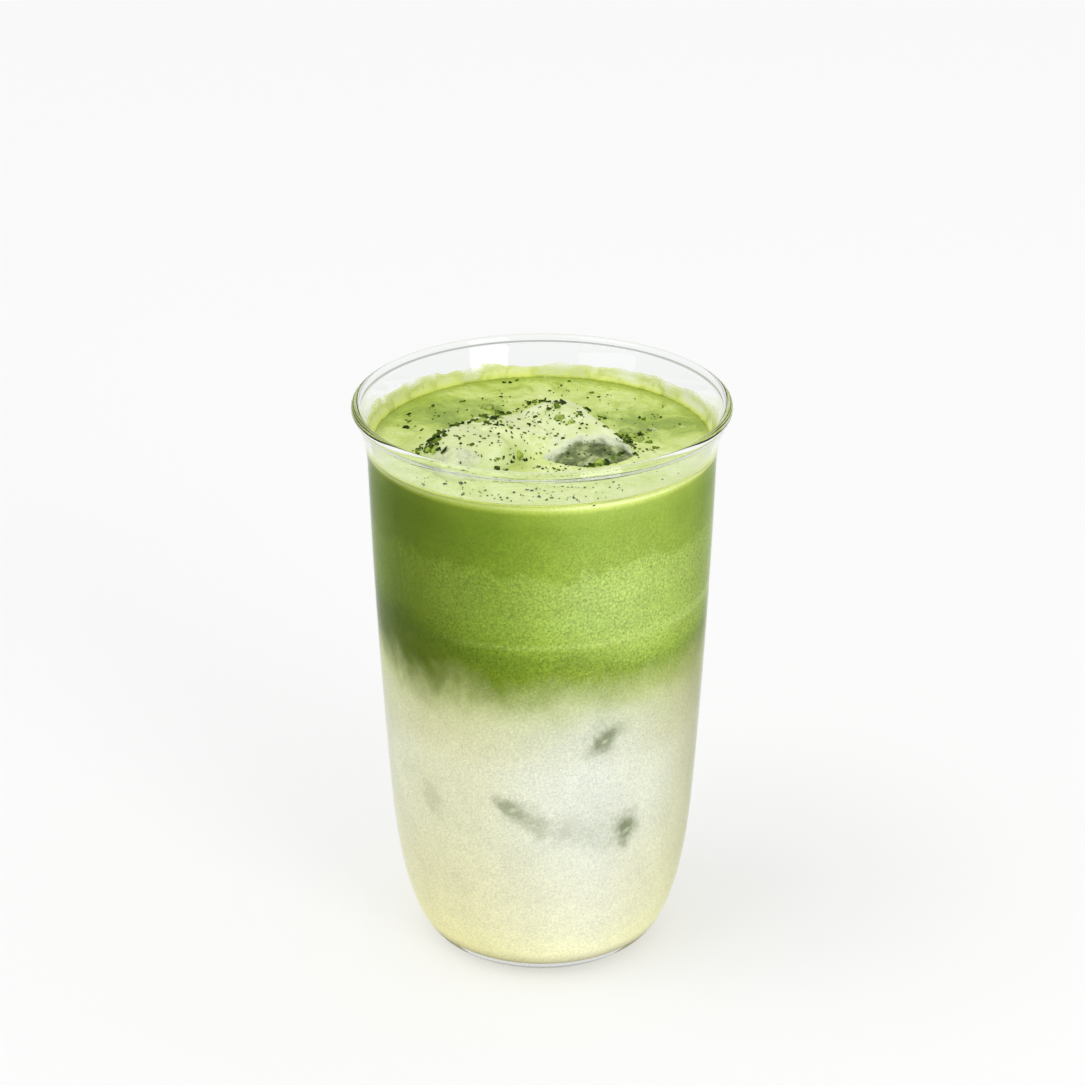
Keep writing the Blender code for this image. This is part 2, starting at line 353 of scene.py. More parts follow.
@dataclass
class Tumbler:
    """The glass and the outline that its contents follow, in millimetres and degrees."""

    foot: float = 33.019
    slope: float = 0.0927
    curve: float = 0.0002626
    heel_height: float = 42.49
    heel_drop: float = 12.770
    heel_n: float = 2.669
    heel_m: float = 2.869
    flare_start: float = 122.5
    flare_size: float = 58.0
    flare_end: float = 134.5
    lip_radius: float = 42.95
    lip_height: float = 135.9
    lip_tube: float = 1.05
    lip_start: float = -48.0
    lip_turn: float = 5.5
    lip_points: int = 47
    wall: float = 1.35
    base_extra: float = 0.75
    base_fade: float = 8.0
    base_rings: Triple = (0.0, 7.0, 14.0)
    bite: float = 0.35
    segments: int = 192
    face: Outline = field(default_factory=list)
    inside: Outline = field(default_factory=list)

    def __post_init__(self) -> None:
        """Work out the inner face, and the line just inside the wall that the contents follow."""
        self.face = self.inset(0.0)
        self.inside = self.inset(-self.bite)

    def outer(self, height: float) -> float:
        """Outer radius of the wall at a height: a leaning wall, a round heel and a flared top."""
        part = min(height / self.heel_height, 1.0)
        drop = self.heel_drop * (1.0 - (1.0 - (1.0 - part) ** self.heel_n) ** (1.0 / self.heel_m))
        flare = max(0.0, height - self.flare_start) ** 2 / self.flare_size
        return self.foot + self.slope * height - self.curve * height ** 2 - drop + flare

    def heights(self) -> list[float]:
        """Heights at which the outline has a point, closest together at the foot."""
        heel = [self.heel_height * (i / 36.0) ** 2.4 for i in range(37)]
        wall = [self.heel_height + (self.flare_start - self.heel_height) * i / 20.0 for i in range(1, 21)]
        flare = [self.flare_start + (self.flare_end - self.flare_start) * i / 14.0 for i in range(1, 15)]
        return heel + wall + flare

    def normal(self, height: float) -> tuple[float, float]:
        """Outward normal of the outer wall at a height, as its parts across and up."""
        if height <= 0.0:
            return 0.0, -1.0
        step = min(0.02, height * 0.5)
        slope = (self.outer(height + step) - self.outer(height - step)) / (2.0 * step)
        length = math.hypot(1.0, slope)
        return 1.0 / length, -slope / length

    def inset(self, extra: float) -> Outline:
        """Inner side of the wall.

        Args:
            extra: Distance by which it is moved further inwards.

        Returns:
            Its points, from the base up.
        """
        points = []
        for height in self.heights():
            across, up = self.normal(height)
            depth = self.wall + self.base_extra * math.exp(-height / self.base_fade) + extra
            points.append((self.outer(height) - across * depth, height - up * depth))
        return points

    def fill(self, height: float) -> float:
        """Radius of the contents at a height."""
        return float(np.interp(height, [p[1] for p in self.inside], [p[0] for p in self.inside]))

    def build(self) -> Object:
        """Turn the glass from its outline."""
        outline = [(radius, 0.0) for radius in self.base_rings]
        outline += [(self.outer(h), h) for h in self.heights()]
        for step in range(self.lip_points):
            angle = math.radians(self.lip_start + self.lip_turn * step)
            outline.append((self.lip_radius + self.lip_tube * math.cos(angle),
                            self.lip_height + self.lip_tube * math.sin(angle)))
        floor = self.face[0][1]
        outline += list(reversed(self.face)) + [(radius, floor) for radius in reversed(self.base_rings)]
        return turned("glass_tumbler", outline, self.segments)


@dataclass
class IceBlock:
    """A melted block of ice with rounded edges and a coat of foam, in millimetres and degrees."""

    name: str
    node: str
    centre: Triple
    size: Triple
    turn: Triple
    blunt: float = 3.8
    cuts: int = 84
    coat: float = 0.12

    def rotation(self) -> Matrix:
        """Rotation of the block."""
        return Euler([math.radians(a) for a in self.turn], "XYZ").to_matrix()

    def point(self, direction: Vector) -> Vector:
        """Find a point of the surface.

        Args:
            direction: Direction from the centre, as a point of the unit cube.

        Returns:
            The point, in the glass's frame.
        """
        u, v, w = direction
        length = (abs(u) ** self.blunt + abs(v) ** self.blunt + abs(w) ** self.blunt) ** (1.0 / self.blunt)
        melt = 1.0 + 0.016 * math.sin(3.3 * u + 1.2 + 2.0 * w) * math.sin(2.9 * v + 0.4)
        half = [0.5 * s * melt for s in self.size]
        local = Vector((u * half[0], v * half[1], w * half[2])) / length
        return self.rotation() @ local + Vector(self.centre)

    def reach(self, x: float, y: float, height: float) -> float:
        """How far a point lies outside the block, negative inside it."""
        local = self.rotation().transposed() @ (Vector((x, y, height)) - Vector(self.centre))
        total = sum(abs(2.0 * c / s) ** self.blunt for c, s in zip(local, self.size)) ** (1.0 / self.blunt)
        return (total - 1.0) * 0.5 * min(self.size)

    def build(self) -> Object:
        """Make the block with a soft, lumpy coat of foam."""
        bm = bmesh.new()
        bmesh.ops.create_cube(bm, size=2.0)
        bmesh.ops.subdivide_edges(bm, edges=bm.edges[:], cuts=self.cuts, use_grid_fill=True)
        for vert in bm.verts:
            even = Vector([math.tan(c * 0.66) / math.tan(0.66) for c in vert.co])
            vert.co = self.point(even) * MM
        bm.normal_update()
        for vert in bm.verts:
            place = vert.co / MM
            lumps = noise.noise(place * 0.16) * 0.5 + noise.noise(place * 0.42 + Vector((7, 1, 3))) * 0.22
            lumps += noise.noise(place * 1.3) * 0.07
            vert.co += vert.normal * (self.coat + lumps) * MM
        bmesh.ops.recalc_face_normals(bm, faces=bm.faces[:])
        return finish_object(self.name, bm)


@dataclass
class Drink:
    """Milk with a layer of matcha on it, and the uneven foam surface, in millimetres."""

    glass: Tumbler
    blocks: list[IceBlock]
    boundary_height: float = 79.6
    low_bend: float = 72.0
    high_bend: float = 92.0
    level: float = 126.9
    meniscus: float = 0.7
    collar: float = 0.9
    bridge_reach: float = 8.0
    bridge_top: float = 134.0
    bridge_soft: float = 4.0
    bridge_swell: float = 2.2
    bridge_depth: float = 1.1
    bridge_step: float = 0.05
    surface_marker: float = 140.0
    segments: int = 288
    rings: int = 110

    def boundary(self, angle: float, part: float) -> float:
        """Height of the milk's upper side.

        Args:
            angle: Angle from the front, positive to the right.
            part: Distance from the axis, 1 at the wall.

        Returns:
            The height.
        """
        wave = 0.9 * math.sin(2.0 * angle + 0.6) + 0.7 * math.sin(5.0 * angle + 2.1)
        wave += 0.45 * math.sin(9.0 * angle + 0.4)
        drip = -4.4 * math.exp(-((angle + 0.75) / 0.19) ** 2) + 1.6 * math.exp(-((angle - 0.12) / 0.30) ** 2)
        return self.boundary_height + (wave + drip) * part ** 2

    def side(self, low: float, high: float, count: int) -> Outline:
        """Points on the wall between two heights."""
        heights = [low + (high - low) * i / count for i in range(count + 1)]
        return [(self.glass.fill(h), h) for h in heights]

    def lift(self, vert: MeshVertex, height: float, part: float) -> None:
        """Move a point to a new height, keeping its part of the radius."""
        x, y, _ = vert.co / MM
        length = math.hypot(x, y)
        radius = self.glass.fill(height) * part
        scale = radius / length if length > 1e-6 else 0.0
        vert.co = Vector((x * scale, y * scale, height)) * MM

    def build_milk(self) -> Object:
        """Make the milk, up to its wavy upper side."""
        floor = self.glass.inside[0][1]
        outline = [(radius, floor) for radius in self.glass.base_rings]
        outline += [p for p in self.glass.inside if p[1] < self.low_bend - 0.5]
        outline += self.side(self.low_bend, self.boundary_height, 8)
        rim = outline[-1][0]
        outline += [(rim * (1.0 - i / 12.0), self.boundary_height) for i in range(1, 13)]
        obj = turned("milk_layer", outline, self.segments)
        for vert in obj.data.vertices:
            x, y, z = vert.co / MM
            if z > self.low_bend:
                part = min(math.hypot(x, y) / self.glass.fill(z), 1.0)
                share = (z - self.low_bend) / (self.boundary_height - self.low_bend)
                top = self.boundary(math.atan2(x, -y), part)
                self.lift(vert, self.low_bend + (top - self.low_bend) * share, part)
        return obj

    def surface(self, x: float, y: float, part: float) -> float:
        """Height of the foamed surface: raised at the wall and round the ice, with soft folds.

        Args:
            x: Place from left to right.
            y: Place from front to back.
            part: Distance from the axis, 1 at the wall.

        Returns:
            The height.
        """
        place = Vector((x, y, 0.0))
        rise = self.meniscus * max(0.0, (part - 0.92) / 0.08) ** 2
        near = max(0.0, min(block.reach(x, y, self.level) for block in self.blocks))
        rise += self.collar * math.exp(-near / 2.6) * (1.0 - part ** 6)
        rise += 0.22 * math.sin(0.31 * x + 0.8) * math.cos(0.37 * y - 0.5) * (1.0 - part ** 4)
        bend = Vector((noise.noise(place * 0.09), noise.noise(place * 0.09 + Vector((9, 4, 0))), 0))
        fold = 0.22 * noise.noise((place * 0.06 + bend) * 3.1) + 0.09 * noise.noise(place * 0.55)
        fold += 0.04 * noise.noise(place * 1.7)
        return max(self.level + rise, self.bridge(x, y)) + fold * (1.0 - part ** 8)

    def bridge(self, x: float, y: float) -> float:
        """Height of the foam that fills the gap between the blocks, or 0 away from it."""
        if max(block.reach(x, y, self.level) for block in self.blocks) > self.bridge_reach:
            return 0.0
        height = self.bridge_top
        soft = self.bridge_soft + self.bridge_swell * smoothstep(-15.0, -7.0, y)
        while height > self.level:
            total = sum(math.exp(-block.reach(x, y, height) / soft) for block in self.blocks)
            if -soft * math.log(total) < -self.bridge_depth:
                return height
            height -= self.bridge_step
        return 0.0

    def build_matcha(self) -> Object:
        """Make the matcha layer; the points of its surface are marked by a height, then lifted."""
        base = self.boundary_height
        outline = [(0.0, base)] + [(self.glass.fill(base) * i / 8.0, base) for i in range(1, 8)]
        outline += self.side(base, self.high_bend, 8)
        outline += self.side(self.high_bend, self.level + self.meniscus, 26)[1:]
        rim = outline[-1][0]
        steps = [1.0 - (i / self.rings) ** 1.25 for i in range(1, self.rings + 1)]
        outline += [(rim * step, self.surface_marker) for step in steps]
        obj = turned("matcha_layer", outline, self.segments)
        for vert in obj.data.vertices:
            x, y, z = vert.co / MM
            if z > self.surface_marker - 1.0:
                vert.co.z = self.surface(x, y, math.hypot(x, y) / rim) * MM
            elif z < self.high_bend:
                part = min(math.hypot(x, y) / self.glass.fill(z), 1.0)
                share = (self.high_bend - z) / (self.high_bend - base)
                low = self.boundary(math.atan2(x, -y), part)
                self.lift(vert, self.high_bend - (self.high_bend - low) * share, part)
        return obj


@dataclass
class WallFilm:
    """Thin ragged film of foam left on the inner wall above the drink, in millimetres."""

    glass: Tumbler
    foot: float = 126.2
    front_lift: float = 0.75
    contact: float = 127.5
    low: float = 127.9
    top: float = 130.0
    bite: float = 0.2
    thick: float = 0.32
    bead: float = 0.55
    segments: int = 360
    steps: int = 16

    def edge(self, angle: float) -> float:
        """Height of the film's scalloped upper edge, which sinks to the contact line at the front."""
        around = Vector((math.cos(angle), math.sin(angle), 0.0))
        ragged = 1.3 * noise.noise(around * 2.3) + 0.8 * noise.noise(around * 5.0) + 0.25 * noise.noise(around * 14.0)
        behind = smoothstep(-0.6, 0.0, around.y)
        return self.low + behind * (self.top - self.low + 1.2 * abs(around.x) + 1.5 * ragged)

    def section(self, angle: float) -> Outline:
        """Closed outline of the film at an angle; it is narrow at the front.

        Args:
            angle: Angle about the axis, in radians.

        Returns:
            Radius and height of each point.
        """
        radii, levels = [p[0] for p in self.glass.face], [p[1] for p in self.glass.face]
        top = self.edge(angle)
        foot = self.foot + self.front_lift * smoothstep(0.0, -0.5, math.sin(angle))
        heights = [foot + (top - foot) * i / self.steps for i in range(self.steps + 1)]
        back = [(float(np.interp(h, levels, radii)) + self.bite, h) for h in heights]
        front = []
        for radius, height in back[1:-1]:
            bead = self.bead * math.exp(-((height - self.contact) / 0.6) ** 2)
            front.append((radius - self.thick - bead, height))
        return back + list(reversed(front))

    def build(self) -> Object:
        """Make the film as a closed thin shell."""
        bm = bmesh.new()
        loops = []
        for k in range(self.segments):
            angle = math.tau * k / self.segments
            turn = (math.cos(angle) * MM, math.sin(angle) * MM)
            loops.append([bm.verts.new((r * turn[0], r * turn[1], h * MM)) for r, h in self.section(angle)])
        for here, there in zip(loops, loops[1:] + loops[:1]):
            for i in range(len(here)):
                j = (i + 1) % len(here)
                bm.faces.new((here[i], there[i], there[j], here[j]))
        bmesh.ops.recalc_face_normals(bm, faces=bm.faces[:])
        return finish_object("foam_film", bm)


@dataclass(frozen=True)
class Stroke:
    """A line or spot of crumbs: ends in the photograph's pixels, how many, and their size in mm."""

    x0: float
    y0: float
    x1: float
    y1: float
    count: int
    size: float
    spread: float = 1.5


STROKES = tuple(Stroke(*row) for row in (
    (424, 448, 443, 449, 9, 1.7, 2.5), (430, 440, 445, 431, 12, 1.5), (446, 429, 480, 419, 22, 1.1),
    (480, 416, 488, 416, 6, 1.8), (487, 408, 504, 412, 9, 1.4, 2.5), (492, 420, 517, 411, 16, 0.9, 1.0),
    (481, 424, 511, 425, 14, 1.1, 3.0), (528, 403, 548, 401, 12, 1.2, 1.0), (548, 400, 565, 405, 10, 1.7, 2.5),
    (548, 409, 560, 407, 5, 1.2, 2.0), (528, 423, 546, 423, 6, 0.9), (520, 408, 538, 413, 6, 0.9, 4.0),
    (517, 420, 528, 414, 4, 0.9, 2.0), (553, 420, 579, 422, 7, 0.9, 3.0), (579, 413, 583, 415, 4, 1.2),
    (585, 408, 591, 412, 5, 1.7), (599, 418, 604, 420, 4, 1.7), (605, 425, 609, 430, 4, 1.3),
    (620, 434, 633, 446, 18, 1.5, 2.2), (640, 434, 643, 437, 4, 1.3), (648, 441, 651, 442, 3, 1.2),
    (636, 449, 639, 457, 6, 1.2), (646, 451, 659, 448, 8, 1.1), (585, 467, 611, 462, 13, 1.2),
    (612, 459, 624, 453, 7, 1.1), (535, 468, 567, 470, 12, 0.9), (511, 454, 514, 463, 6, 1.0),
    (520, 459, 530, 461, 5, 1.0), (496, 460, 504, 457, 4, 0.9), (492, 444, 493, 445, 2, 0.9),
    (497, 468, 511, 470, 5, 0.9), (455, 434, 463, 448, 4, 0.8, 3.0), (470, 447, 488, 436, 4, 0.8, 3.0),
    (494, 436, 536, 432, 8, 0.8, 4.0), (552, 432, 566, 438, 5, 0.8, 2.5), (577, 435, 585, 423, 3, 0.8, 2.0),
    (433, 405, 439, 417, 4, 0.9, 2.0), (448, 402, 484, 400, 3, 0.9, 3.0), (494, 390, 517, 401, 3, 0.9, 3.0),
    (502, 381, 518, 382, 4, 0.9, 1.0), (545, 393, 573, 381, 5, 0.9, 2.0), (591, 392, 618, 398, 4, 0.9, 2.0),
    (642, 420, 646, 419, 4, 1.6, 1.0), (647, 419, 665, 418, 5, 0.8, 0.8), (651, 431, 652, 431, 2, 1.0),
    (409, 414, 410, 415, 2, 1.7, 0.5), (406, 427, 407, 428, 2, 1.6, 0.5), (405, 419, 424, 431, 4, 0.9, 2.0),
    (419, 475, 434, 475, 3, 0.9, 1.0), (426, 479, 427, 485, 3, 1.0, 1.0), (446, 482, 447, 482, 1, 1.2, 0.5),
    (462, 480, 463, 480, 2, 1.7, 0.5), (465, 493, 466, 493, 2, 1.3, 0.6), (482, 477, 489, 494, 3, 0.9, 1.0),
    (500, 492, 504, 499, 4, 1.0, 0.8), (510, 504, 518, 485, 2, 1.0, 0.8), (526, 487, 548, 488, 7, 1.0, 1.2),
    (534, 493, 548, 498, 5, 1.1, 1.5), (548, 490, 555, 498, 4, 1.1, 1.5), (554, 484, 587, 485, 8, 0.9, 0.8),
    (568, 493, 581, 501, 3, 0.9, 1.0), (585, 502, 595, 505, 2, 1.0, 0.5), (618, 482, 623, 491, 5, 0.9, 0.8),
    (419, 451, 446, 431, 26, 1.5, 3.2), (484, 421, 508, 414, 16, 1.5, 3.0), (622, 434, 637, 450, 12, 1.6, 2.4),
    (446, 436, 520, 424, 14, 0.8, 6.0), (540, 412, 600, 428, 14, 0.8, 7.0),
))

# Pixel of the photograph, and size in mm.
CLUMPS = ((491, 409, 3.6), (481, 419, 1.8), (498, 416, 1.6), (560, 418, 2.0), (573, 423, 1.6), (631, 434, 3.6),
          (640, 440, 1.8), (520, 456, 1.5), (600, 464, 1.6), (434, 449, 1.8))
# Pixel of the photograph, and radius in mm.
BUBBLES = ((654, 431, 1.5), (416, 431, 0.9), (425, 484, 0.8), (436, 474, 0.9), (490, 498, 0.6), (577, 384, 0.9),
           (406, 467, 1.5), (413, 470, 1.1), (600, 388, 0.8), (467, 388, 0.7), (394, 434, 0.9), (660, 455, 0.8),
           (508, 386, 0.6), (546, 378, 0.7), (684, 428, 0.9), (648, 470, 0.6), (583, 493, 0.5))
# Middle and spread in pixels of the photograph, and count, of the finest crumbs.
DUST = (((532.0, 438.0), (62.0, 24.0), 170), ((542.0, 430.0), (110.0, 36.0), 160), ((530.0, 492.0), (70.0, 8.0), 60))


@dataclass
class Crumbs:
    """Tea leaf crumbs that lie on the foam, placed by rays from the camera through strokes."""

    eye: Triple
    aim: Matrix
    focal: float
    middle: float
    ground: BVHTree
    seed: int = 23
    near_row: float = 470.0
    near_size: float = 0.62
    sizes: tuple[float, ...] = (0.4, 0.6, 0.9, 1.1, 1.6)
    dust_reach: float = 0.036

    def hit(self, px: float, py: float) -> tuple[Vector, Vector] | None:
        """Find the foam point and its normal behind a pixel of the photograph."""
        ray = self.aim @ Vector((px - self.middle - 0.5, self.middle - py, -self.focal))
        place, normal, _, _ = self.ground.ray_cast(Vector(self.eye), ray.normalized())
        return (place, normal) if place else None

    def flake(self, bm: bmesh.types.BMesh, place: Vector, normal: Vector, size: float,
              rng: random.Random) -> None:
        """Add one thin, uneven, slightly curled crumb lying on the foam.

        Args:
            bm: The mesh that the crumb goes into.
            place: Point of the foam, in metres.
            normal: The foam's normal there.
            size: Length of the crumb in millimetres.
            rng: Source of the uneven outline.
        """
        lean = Vector((rng.uniform(-0.45, 0.45), rng.uniform(-0.45, 0.45), 0.0))
        up = (normal + lean).normalized()
        along = Matrix.Rotation(rng.uniform(0.0, math.tau), 3, up) @ up.orthogonal().normalized()
        across = up.cross(along)
        corners = rng.randint(6, 8)
        width = rng.uniform(0.38, 0.8)
        thick = min(0.1 + 0.10 * size, 0.26) * rng.uniform(0.8, 1.3)
        curl = rng.uniform(-0.22, 0.3) * size
        rims = []
        for side, turn, share in ((-1.0, 0.0, 1.0), (1.0, 0.25, 0.86)):
            ring = []
            for k in range(corners):
                angle = math.tau * (k + turn) / corners
                far = rng.uniform(0.72, 1.1) * share
                a = 0.5 * size * far * math.cos(angle)
                b = 0.5 * size * width * far * math.sin(angle)
                rise = curl * (2.0 * a / size) ** 2 + side * thick * 0.5 + 0.08
                ring.append(bm.verts.new(place + (along * a + across * b + up * rise) * MM))
            rims.append(ring)
        for k in range(corners):
            n = (k + 1) % corners
            bm.faces.new((rims[0][k], rims[0][n], rims[1][n], rims[1][k]))
        bm.faces.new(list(reversed(rims[0])))
        bm.faces.new(rims[1])

    def build_flakes(self) -> Object:
        """Make all leaf crumbs as one mesh."""
        rng = random.Random(self.seed)
        bm = bmesh.new()
        for stroke in STROKES:
            near = self.near_size if stroke.y0 > self.near_row else 1.0
            for k in range(stroke.count):
                share = (k + rng.uniform(0.0, 1.0)) / stroke.count
                px = stroke.x0 + (stroke.x1 - stroke.x0) * share + rng.gauss(0.0, 0.8) * stroke.spread
                py = stroke.y0 + (stroke.y1 - stroke.y0) * share + rng.gauss(0.0, 0.6) * stroke.spread
                found = self.hit(px, py)
                if found:
                    self.flake(bm, *found, stroke.size * near * rng.choice(self.sizes), rng)
        for middle, spread, count in DUST:
            for _ in range(count):
                found = self.hit(rng.gauss(middle[0], spread[0]), rng.gauss(middle[1], spread[1]))
                if found and math.hypot(found[0].x, found[0].y) < self.dust_reach:
                    self.flake(bm, *found, rng.uniform(0.3, 0.75), rng)
        bmesh.ops.recalc_face_normals(bm, faces=bm.faces[:])
        return finish_object("tea_flakes", bm, 35.0)

    def build_clumps(self) -> Object:
        """Make the small lumps of wet matcha beside the flakes."""
        rng = random.Random(self.seed + 1)
        bm = bmesh.new()
        for px, py, size in CLUMPS:
            for _ in range(3):
                found = self.hit(px + rng.gauss(0.0, 2.0), py + rng.gauss(0.0, 1.2))
                if not found:
                    continue
                place, normal = found
                radius = size * rng.uniform(0.35, 0.6)
                turn = normal.to_track_quat("Z", "Y").to_matrix().to_4x4()
                flat = Matrix.Diagonal((rng.uniform(0.7, 1.4), rng.uniform(0.7, 1.2), 0.3, 1.0))
                matrix = Matrix.Translation(place) @ turn @ flat
                made = bmesh.ops.create_icosphere(bm, subdivisions=3, radius=radius * MM, matrix=matrix)
                for vert in made["verts"]:
                    lump = noise.noise(vert.co / MM * 1.1) * 0.6 + noise.noise(vert.co / MM * 2.7) * 0.3
                    vert.co += (vert.co - place) * lump
        bmesh.ops.recalc_face_normals(bm, faces=bm.faces[:])
        return finish_object("matcha_clumps", bm)

    def build_bubbles(self) -> Object:
        """Make the small bubbles that stand in the foam."""
        bm = bmesh.new()
        for px, py, radius in BUBBLES:
            found = self.hit(px, py)
            if found:
                place = found[0] - Vector((0.0, 0.0, 0.55 * radius * MM))
                bmesh.ops.create_icosphere(bm, subdivisions=4, radius=radius * MM, matrix=Matrix.Translation(place))
        bmesh.ops.recalc_face_normals(bm, faces=bm.faces[:])
        return finish_object("foam_bubbles", bm)


@dataclass(frozen=True)
class ClearGlass:
    """Clear glass with a faint green tint, misted on the outside below a wavy edge, with painted shade greying its
    foot.
    """

    name: str = "clear_glass"
    colour: Triple = (0.965, 0.985, 0.97)
    ior: float = 1.47
    mist_top: float = 111.0
    mist_rough: float = 0.05
    foot_shade: Triple = (0.34, 0.36, 0.32)
    passing: Triple = (0.96, 0.975, 0.965)

    def make(self) -> Material:
        """Make the material; light that falls through it meets a plain transparent shader."""
        mat, sheet, shader = start_material(self.name)
        place = sheet.place()
        _, _, z = sheet.split(place)
        wavy = sheet.times(sheet.noise(place, 0.06, 3.0), 8.0)
        misty = sheet.span(sheet.plus(z, wavy), self.mist_top + 7.0, self.mist_top + 2.0)
        fine = sheet.span(sheet.noise(place, 1.8, 2.0, 0.6), 0.35, 0.65, 0.55, 1.2)
        # painted shade darkens the glass at its foot
        sheet.feed(shader.inputs["Base Color"], sheet.blend(sheet.span(z, 3.2, 2.2), self.colour, self.foot_shade))
        shader.inputs["Transmission Weight"].default_value = 1.0
        shader.inputs["IOR"].default_value = self.ior
        sheet.feed(shader.inputs["Roughness"], sheet.times(sheet.times(misty, fine), self.mist_rough))
        clear = sheet.add("ShaderNodeBsdfTransparent", {"Color": self.passing})
        path = sheet.add("ShaderNodeLightPath").outputs
        share = sheet.maths("MAXIMUM", path["Is Shadow Ray"], path["Is Diffuse Ray"])
        mixed = sheet.add("ShaderNodeMixShader", {0: share, 1: shader.outputs[0], 2: clear.outputs[0]})
        sheet.feed(mat.node_tree.nodes["Material Output"].inputs["Surface"], mixed.outputs[0])
        return mat


# Height in mm and display colour, or place from left to right in mm and factor; the factors from left to right are
# painted light and shade.
# The lowest milk stops darken the milk's foot as painted shade.
MILK_UPWARDS = ((2.2, 186, 180, 140), (4.0, 222, 217, 176), (6.5, 244, 241, 196), (16.0, 233, 231, 199),
                (28.0, 226, 225, 200), (40.0, 222, 223, 204), (58.0, 221, 223, 205), (64.0, 215, 216, 190),
                (70.0, 207, 210, 178), (78.0, 198, 204, 152))
# Painted light and shade: the milk is palest near the middle and darker towards its sides.
MILK_LIGHT_AND_SHADE = ((-36.0, 0.95, 0.94, 0.85), (-32.0, 1.0, 0.98, 0.86), (-26.0, 0.98, 0.95, 0.79),
               (-16.0, 0.97, 0.94, 0.8), (0.0, 0.99, 0.98, 0.97), (12.0, 1.02, 1.02, 1.09),
               (20.0, 0.99, 0.98, 0.97), (27.0, 0.96, 0.95, 0.86), (32.0, 0.86, 0.84, 0.7), (36.0, 0.66, 0.65, 0.49))
TEA_UPWARDS = ((84.0, 110, 131, 31), (88.0, 106, 130, 33), (91.0, 121, 146, 43), (93.0, 129, 153, 49),
               (97.0, 134, 159, 57), (105.0, 137, 161, 60), (109.0, 135, 160, 57), (121.0, 131, 157, 53),
               (125.0, 143, 167, 61), (126.0, 180, 199, 86), (126.9, 210, 224, 124))
# Painted light and shade: the matcha is darker to the left and lighter to the right of the middle.
TEA_LIGHT_AND_SHADE = ((-37.0, 0.5, 0.53, 0.24), (-33.0, 0.37, 0.4, 0.15), (-28.0, 0.41, 0.43, 0.18),
              (-20.0, 0.54, 0.56, 0.35), (-10.0, 0.72, 0.76, 0.53), (0.0, 1.03, 1.02, 1.0),
              (10.0, 1.31, 1.25, 1.8), (20.0, 1.38, 1.3, 1.9), (28.0, 1.32, 1.27, 1.6), (33.0, 1.1, 1.06, 1.15),
              (37.0, 0.84, 0.83, 0.7))
FOAM_GREENS = ((-0.6, 218, 229, 162), (-0.15, 207, 220, 140), (0.3, 196, 212, 116), (0.75, 168, 189, 80),
               (1.2, 136, 160, 54))
WHITE_PATCHES = (Mark((17.0, -34.2, 65.0), (12.0,) * 3, strength=0.4),
                 Mark((6.0, -35.5, 54.0), (14.0,) * 3, strength=0.4),
                 Mark((24.0, -27.0, 50.0), (11.0,) * 3, strength=0.4))
ICE_MARKS = (Mark((11.0, -34.8, 42.5), (12.0, 9.0, 6.0), (0.0, 0.2, 0.3), 0.2),
             Mark((14.8, -35.0, 66.8), (7.2, 9.0, 5.0), (0.0, -0.85, 0.4), 0.28),
             Mark((14.8, -35.0, 66.8), (4.4, 6.0, 2.9), (0.0, -0.85, 0.4), 0.72),
             Mark((-2.8, -36.3, 46.6), (10.5, 9.0, 4.2), (0.0, 0.55, 0.0), 0.3),
             Mark((-7.8, -36.0, 49.8), (3.6, 6.0, 2.5), (0.0, 0.6, 0.0), 0.55),
             Mark((-1.6, -36.4, 45.6), (4.8, 6.0, 2.2), (0.0, 0.5, 0.0), 0.18),
             Mark((19.6, -30.8, 41.4), (4.4, 9.0, 6.0), (0.0, 0.12, 0.5), 0.35),
             Mark((19.6, -30.8, 41.0), (2.5, 6.0, 3.8), (0.0, 0.12, 0.5), 0.74),
             Mark((-26.2, -26.0, 46.4), (3.2, 6.0, 5.0), (0.0, -0.5, -0.7), 0.25))
# Painted highlights on the ice marks.
PAINTED_GLINTS = tuple(Mark(spot, (size, 4.0, size * 0.6), (0.0, -0.5, 0.0), 0.45) for spot, size in (
    ((14.4, -35.0, 66.2), 0.7), ((-6.8, -36.2, 48.9), 0.9), ((-2.0, -36.4, 45.2), 0.6), ((19.6, -30.8, 40.8), 0.8)))
GREEN_PATCHES = (Mark((-22.0, 17.0, 127.0), (20.0, 13.0, 9.0), strength=0.85),
                 Mark((27.0, 10.0, 127.0), (17.0, 12.0, 9.0), strength=0.85),
                 Mark((0.0, 34.0, 127.0), (30.0, 5.0, 9.0), strength=0.15))
VALLEY = Mark((-6.5, -15.5, 129.5), (5.5, 4.5, 9.0), strength=0.65)


